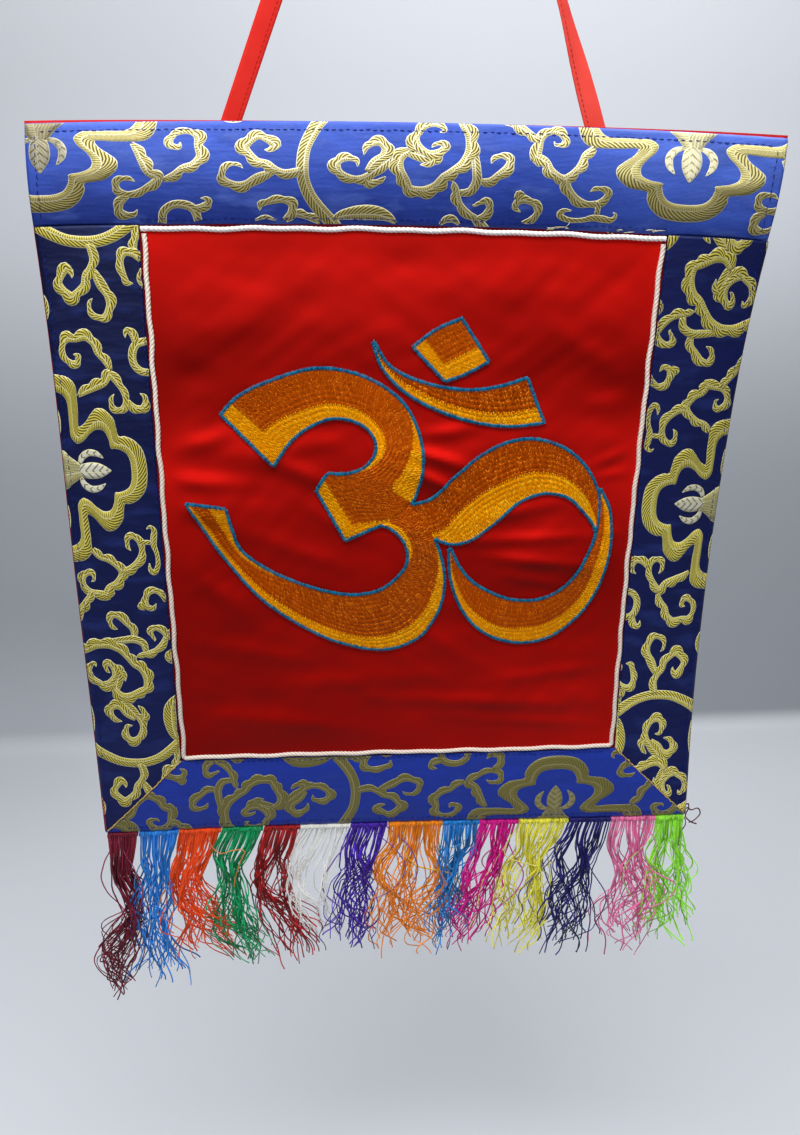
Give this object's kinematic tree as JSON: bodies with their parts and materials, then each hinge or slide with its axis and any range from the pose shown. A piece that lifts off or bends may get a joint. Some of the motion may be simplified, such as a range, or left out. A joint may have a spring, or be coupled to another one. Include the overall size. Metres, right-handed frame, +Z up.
{
  "type": "embroidered brocade banner with hanging tape",
  "caption": "Hanging cloth banner: red satin panel with an embroidered sign, a brocade frame, white cord in the seams, a hanging tape and a dyed yarn fringe.",
  "frame": {"origin": "the point under the tape's loop where it bears on its hook", "axes": "+Z up along the banner's height, front faces -Y, +X to the viewer's right"},
  "size_m": [0.3703, 0.0389, 0.7097],
  "materials": {
    "lining_red": "plain cotton lining",
    "satin_red": "smooth satin",
    "brocade_royal": "satin brocade, royal blue with gold scrolls",
    "brocade_navy": "satin brocade, navy with gold scrolls",
    "cord_white": "twisted cord",
    "embroidery_gold": "satin-stitch embroidery",
    "tape_red": "folded and sewn tape",
    "yarn_maroon": "twisted rayon yarn",
    "yarn_blue": "twisted rayon yarn",
    "yarn_flame": "twisted rayon yarn",
    "yarn_green": "twisted rayon yarn",
    "yarn_dark_red": "twisted rayon yarn",
    "yarn_white": "twisted rayon yarn",
    "yarn_indigo": "twisted rayon yarn",
    "yarn_amber": "twisted rayon yarn",
    "yarn_teal": "twisted rayon yarn",
    "yarn_magenta": "twisted rayon yarn",
    "yarn_yellow": "twisted rayon yarn",
    "yarn_navy": "twisted rayon yarn",
    "yarn_pink": "twisted rayon yarn",
    "yarn_lime": "twisted rayon yarn"
  },
  "bodies": {
    "root": {"lining": "lining_red", "centre_panel": "satin_red", "brocade_top": "brocade_royal", "brocade_bottom": "brocade_royal", "brocade_left": "brocade_navy", "brocade_right": "brocade_navy", "cord_top": "cord_white", "cord_surround": "cord_white", "sign_body": "embroidery_gold", "sign_crescent": "embroidery_gold", "sign_dot": "embroidery_gold", "hanging_tape": "tape_red", "fringe_01_maroon": "yarn_maroon", "fringe_02_blue": "yarn_blue", "fringe_03_flame": "yarn_flame", "fringe_04_green": "yarn_green", "fringe_05_dark_red": "yarn_dark_red", "fringe_06_white": "yarn_white", "fringe_07_indigo": "yarn_indigo", "fringe_08_amber": "yarn_amber", "fringe_09_teal": "yarn_teal", "fringe_10_magenta": "yarn_magenta", "fringe_11_yellow": "yarn_yellow", "fringe_12_navy": "yarn_navy", "fringe_13_pink": "yarn_pink", "fringe_14_lime": "yarn_lime"}
  },
  "joints": []
}
